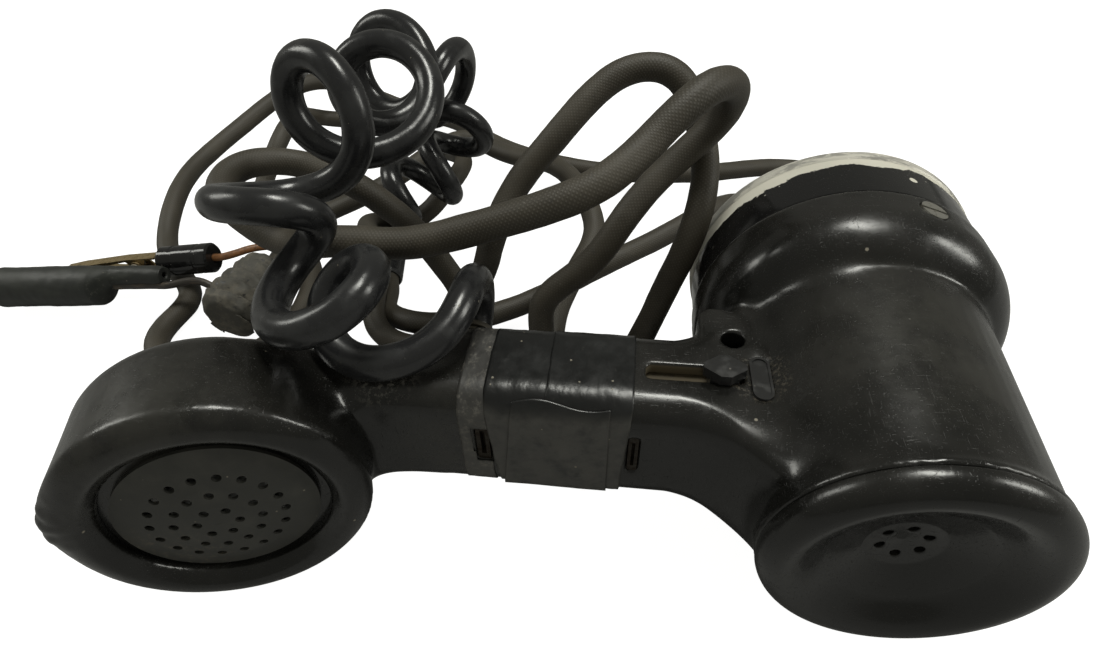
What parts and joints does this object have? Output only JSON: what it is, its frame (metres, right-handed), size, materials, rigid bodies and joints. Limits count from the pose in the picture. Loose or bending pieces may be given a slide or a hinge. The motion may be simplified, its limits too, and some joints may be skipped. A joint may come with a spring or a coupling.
{
  "type": "lineman dial hand test set",
  "caption": "Lineman's telephone hand test set: hard-rubber handset with a rear rotary dial, talk switch, retractile cord, rubber cord and spring test clips.",
  "frame": {"origin": "on the receiver's axis, where the ear cap meets the barrel", "axes": "+Y from the ear cap towards the dial along the receiver axis; +X from the transmitter cup to the receiver along the grip; +Z sideways, up when the handset lies on its side"},
  "size_m": [0.3673, 0.3152, 0.1163],
  "materials": {
    "hard_rubber": "gloss",
    "inner_steel": "satin",
    "copper_wire": "satin",
    "brass": "satin",
    "inner_plastic": "matte",
    "wire_red": "matte",
    "ring_paint": "gloss",
    "screw_steel": "satin",
    "bezel_metal": "worn",
    "number_enamel": "satin",
    "wheel_plastic": "gloss",
    "card_paper": "matte",
    "grid_metal": "matte",
    "switch_plastic": "satin",
    "rusty_steel": "rusty",
    "tape": "satin",
    "tape_dusty": "matte",
    "clip_brass": "aged",
    "clip_rivet": "aged",
    "insulator_plastic": "gloss",
    "boot_rubber": "matte",
    "coil_neoprene": "gloss",
    "cord_rubber": "matte",
    "friction_tape": "matte",
    "lead_brown": "matte"
  },
  "bodies": {
    "handset": {"handle_shell": "hard_rubber", "ear_cap": "hard_rubber", "receiver_frame": "inner_steel", "receiver_diaphragm": "inner_steel", "receiver_magnet": "inner_steel", "receiver_coils": "copper_wire", "receiver_clamp_ring": "brass", "line_capacitor": "inner_plastic", "internal_wires": "wire_red", "dial_housing_ring": "ring_paint", "bell_screws": "screw_steel", "dial_bezel": "bezel_metal", "finger_stop": "screw_steel", "number_plate": "number_enamel", "dial_base": "inner_steel", "governor_cup": "brass", "return_spring": "inner_steel", "pulse_springs": "brass", "transmitter_grid": "grid_metal", "transmitter_gasket": "hard_rubber", "transmitter_capsule": "inner_steel", "transmitter_springs": "brass", "switch_contact_plate": "rusty_steel", "switch_contact_springs": "brass", "legend_plate": "switch_plastic", "grip_tape_main": "tape", "grip_tape_band": "tape_dusty", "grip_tape_patch": "tape", "strap_lugs": "rusty_steel", "clip_a_fixed_jaw": "clip_brass", "clip_a_rivet": "clip_rivet", "clip_a_spring": "inner_steel", "clip_a_insulator": "insulator_plastic", "clip_b_fixed_jaw": "clip_brass", "clip_b_rivet": "clip_rivet", "clip_b_spring": "inner_steel", "clip_b_boot": "boot_rubber", "coil_cord": "coil_neoprene", "cord_grommet": "cord_rubber", "rubber_cord": "cord_rubber", "cord_joint": "coil_neoprene", "splice_tape": "friction_tape", "copper_lead": "lead_brown", "black_lead": "insulator_plastic"},
    "finger_wheel": {"finger_wheel": "wheel_plastic", "card_window_ring": "screw_steel", "number_card": "card_paper", "main_shaft": "inner_steel", "main_gear": "brass"},
    "governor": {"governor_spindle": "inner_steel", "governor_weights": "brass"},
    "talk_switch": {"talk_switch": "switch_plastic"},
    "clip_a_jaw": {"clip_a_moving_jaw": "clip_brass"},
    "clip_b_jaw": {"clip_b_moving_jaw": "clip_brass"}
  },
  "joints": [
    {"name": "finger_wheel_turn", "type": "hinge", "parent": "handset", "child": "finger_wheel", "pos_m": [0, 0.09, 0], "axis": [0, 1, 0], "range_deg": [-330, 0]},
    {"name": "governor_spin", "type": "hinge", "parent": "handset", "child": "governor", "pos_m": [-0.01758, 0.087, 0.01015], "axis": [0, 1, 0], "range_deg": [-10, 1000]},
    {"name": "talk_switch_slide", "type": "slide", "parent": "handset", "child": "talk_switch", "axis": [1, 0, 0], "range_m": [-0.013, 0]},
    {"name": "clip_a_open", "type": "hinge", "parent": "handset", "child": "clip_a_jaw", "pos_m": [-0.26, 0.117, -0.0265], "axis": [-0.0553, 0.9985, 0], "range_deg": [0, 25]},
    {"name": "clip_b_open", "type": "hinge", "parent": "handset", "child": "clip_b_jaw", "pos_m": [-0.2933, 0.1042, -0.0307], "axis": [0.0274, 0.9996, 0], "range_deg": [0, 10]}
  ],
  "couplings": [
    {"joint": "governor_spin", "follows": "finger_wheel_turn", "ratio": -3}
  ]
}
